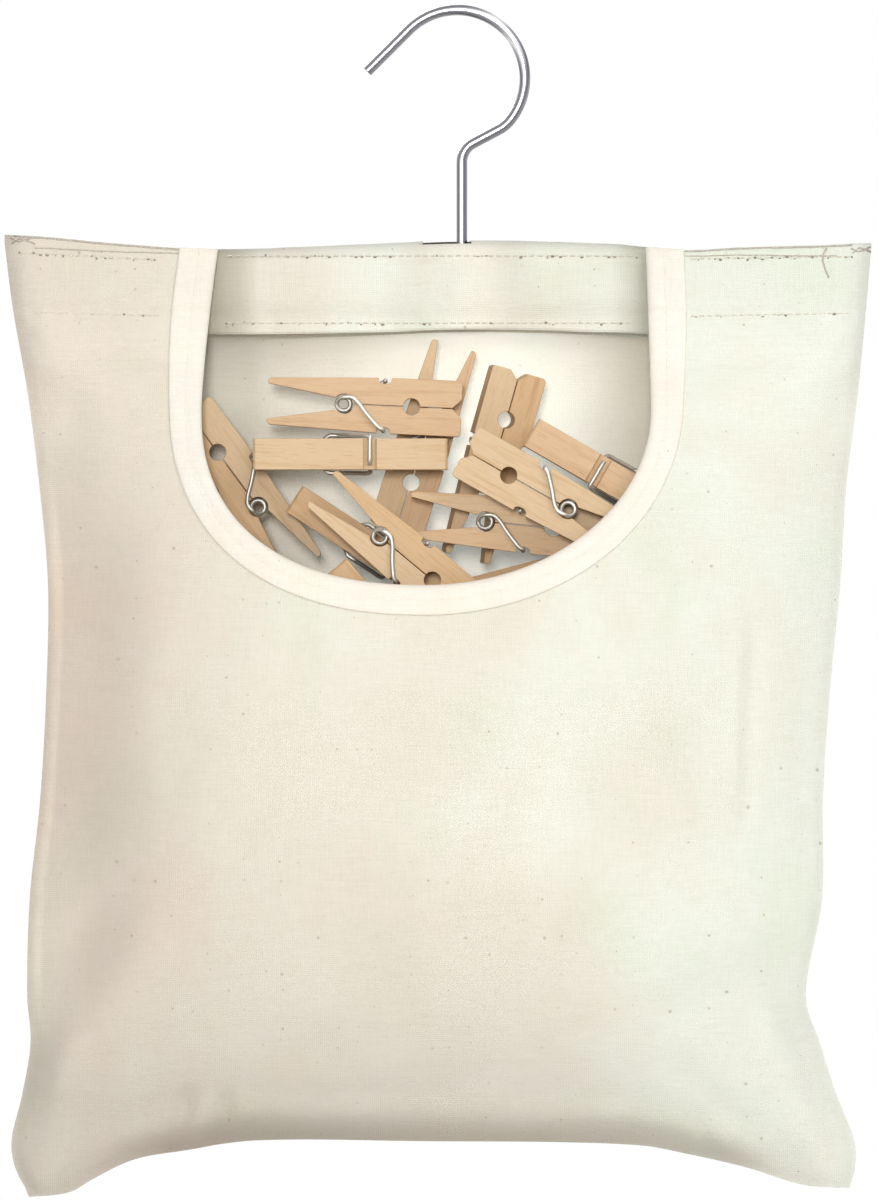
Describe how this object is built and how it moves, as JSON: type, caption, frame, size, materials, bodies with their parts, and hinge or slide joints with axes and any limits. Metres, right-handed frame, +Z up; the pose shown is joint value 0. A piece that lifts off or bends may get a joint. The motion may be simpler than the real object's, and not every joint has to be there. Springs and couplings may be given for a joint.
{
  "type": "peg bag",
  "caption": "Cloth peg bag with a U-shaped bound mouth, a bar in its top channel and a swivelling wire hook, filled with wooden spring pegs.",
  "frame": {"origin": "inner top of the hook's bend, where it rests on a line or rail", "axes": "+Z up, -Y out of the bag's front with its mouth, X across the bag, the hook's point towards -X"},
  "size_m": [0.3294, 0.0931, 0.453],
  "materials": {
    "hook_steel": "gloss",
    "spring_steel": "satin",
    "bar_wood": "matte",
    "beech": "matte",
    "canvas": "matte",
    "tape": "matte"
  },
  "bodies": {
    "hook": {"hook": "hook_steel", "hook_washer": "hook_steel"},
    "bag": {"hanger_bar": "bar_wood", "back_panel": "canvas", "front_panel": "canvas", "mouth_binding": "tape", "peg_heap": "beech", "peg1_held_lever": "beech", "peg1_spring": "spring_steel", "peg2_held_lever": "beech", "peg2_spring": "spring_steel", "peg3_held_lever": "beech", "peg3_spring": "spring_steel", "peg4_held_lever": "beech", "peg4_spring": "spring_steel", "peg5_held_lever": "beech", "peg5_spring": "spring_steel", "peg6_held_lever": "beech", "peg6_spring": "spring_steel", "peg7_held_lever": "beech", "peg7_spring": "spring_steel", "peg8_held_lever": "beech", "peg8_spring": "spring_steel", "peg9_held_lever": "beech", "peg9_spring": "spring_steel"},
    "peg1_lever": {"peg1_free_lever": "beech"},
    "peg2_lever": {"peg2_free_lever": "beech"},
    "peg3_lever": {"peg3_free_lever": "beech"},
    "peg4_lever": {"peg4_free_lever": "beech"},
    "peg5_lever": {"peg5_free_lever": "beech"},
    "peg6_lever": {"peg6_free_lever": "beech"},
    "peg7_lever": {"peg7_free_lever": "beech"},
    "peg8_lever": {"peg8_free_lever": "beech"},
    "peg9_lever": {"peg9_free_lever": "beech"}
  },
  "joints": [
    {"name": "hook_swivel", "type": "hinge", "parent": "hook", "child": "bag", "pos_m": [0.00187, 0, -0.115], "axis": [0, 0, 1], "continuous": true},
    {"name": "peg1_squeeze", "type": "hinge", "parent": "bag", "child": "peg1_lever", "pos_m": [-0.04301, -0.0102, -0.14789], "axis": [0, -1, 0], "range_deg": [0, 24], "stiffness_Nm_per_rad": 0.3, "springref_deg": -45.84, "deforming": ["peg1_spring"]},
    {"name": "peg2_squeeze", "type": "hinge", "parent": "bag", "child": "peg2_lever", "pos_m": [-0.00962, 0.004, -0.15299], "axis": [0, 1, 0], "range_deg": [0, 24], "stiffness_Nm_per_rad": 0.3, "springref_deg": -45.84, "deforming": ["peg2_spring"]},
    {"name": "peg3_squeeze", "type": "hinge", "parent": "bag", "child": "peg3_lever", "pos_m": [0.01096, 0.0014, -0.17849], "axis": [-0.1339, 0.9903, 0.0379], "range_deg": [0, 24], "stiffness_Nm_per_rad": 0.3, "springref_deg": -45.84, "deforming": ["peg3_spring"]},
    {"name": "peg4_squeeze", "type": "hinge", "parent": "bag", "child": "peg4_lever", "pos_m": [-0.04837, -0.0149, -0.167], "axis": [0, 0, -1], "range_deg": [0, 24], "stiffness_Nm_per_rad": 0.3, "springref_deg": -45.84, "deforming": ["peg4_spring"]},
    {"name": "peg5_squeeze", "type": "hinge", "parent": "bag", "child": "peg5_lever", "pos_m": [0.06686, -0.0149, -0.18101], "axis": [0.5, 0, 0.866], "range_deg": [0, 24], "stiffness_Nm_per_rad": 0.3, "springref_deg": -45.84, "deforming": ["peg5_spring"]},
    {"name": "peg6_squeeze", "type": "hinge", "parent": "bag", "child": "peg6_lever", "pos_m": [0.04193, -0.02645, -0.1878], "axis": [0, -1, 0], "range_deg": [0, 24], "stiffness_Nm_per_rad": 0.3, "springref_deg": -45.84, "deforming": ["peg6_spring"]},
    {"name": "peg7_squeeze", "type": "hinge", "parent": "bag", "child": "peg7_lever", "pos_m": [0.01062, -0.01225, -0.1925], "axis": [0, 1, 0], "range_deg": [0, 24], "stiffness_Nm_per_rad": 0.3, "springref_deg": -45.84, "deforming": ["peg7_spring"]},
    {"name": "peg8_squeeze", "type": "hinge", "parent": "bag", "child": "peg8_lever", "pos_m": [-0.07554, 0.00195, -0.18685], "axis": [0, -1, 0], "range_deg": [0, 24], "stiffness_Nm_per_rad": 0.3, "springref_deg": -45.84, "deforming": ["peg8_spring"]},
    {"name": "peg9_squeeze", "type": "hinge", "parent": "bag", "child": "peg9_lever", "pos_m": [-0.02917, -0.02645, -0.19821], "axis": [0, -1, 0], "range_deg": [0, 24], "stiffness_Nm_per_rad": 0.3, "springref_deg": -45.84, "deforming": ["peg9_spring"]}
  ]
}
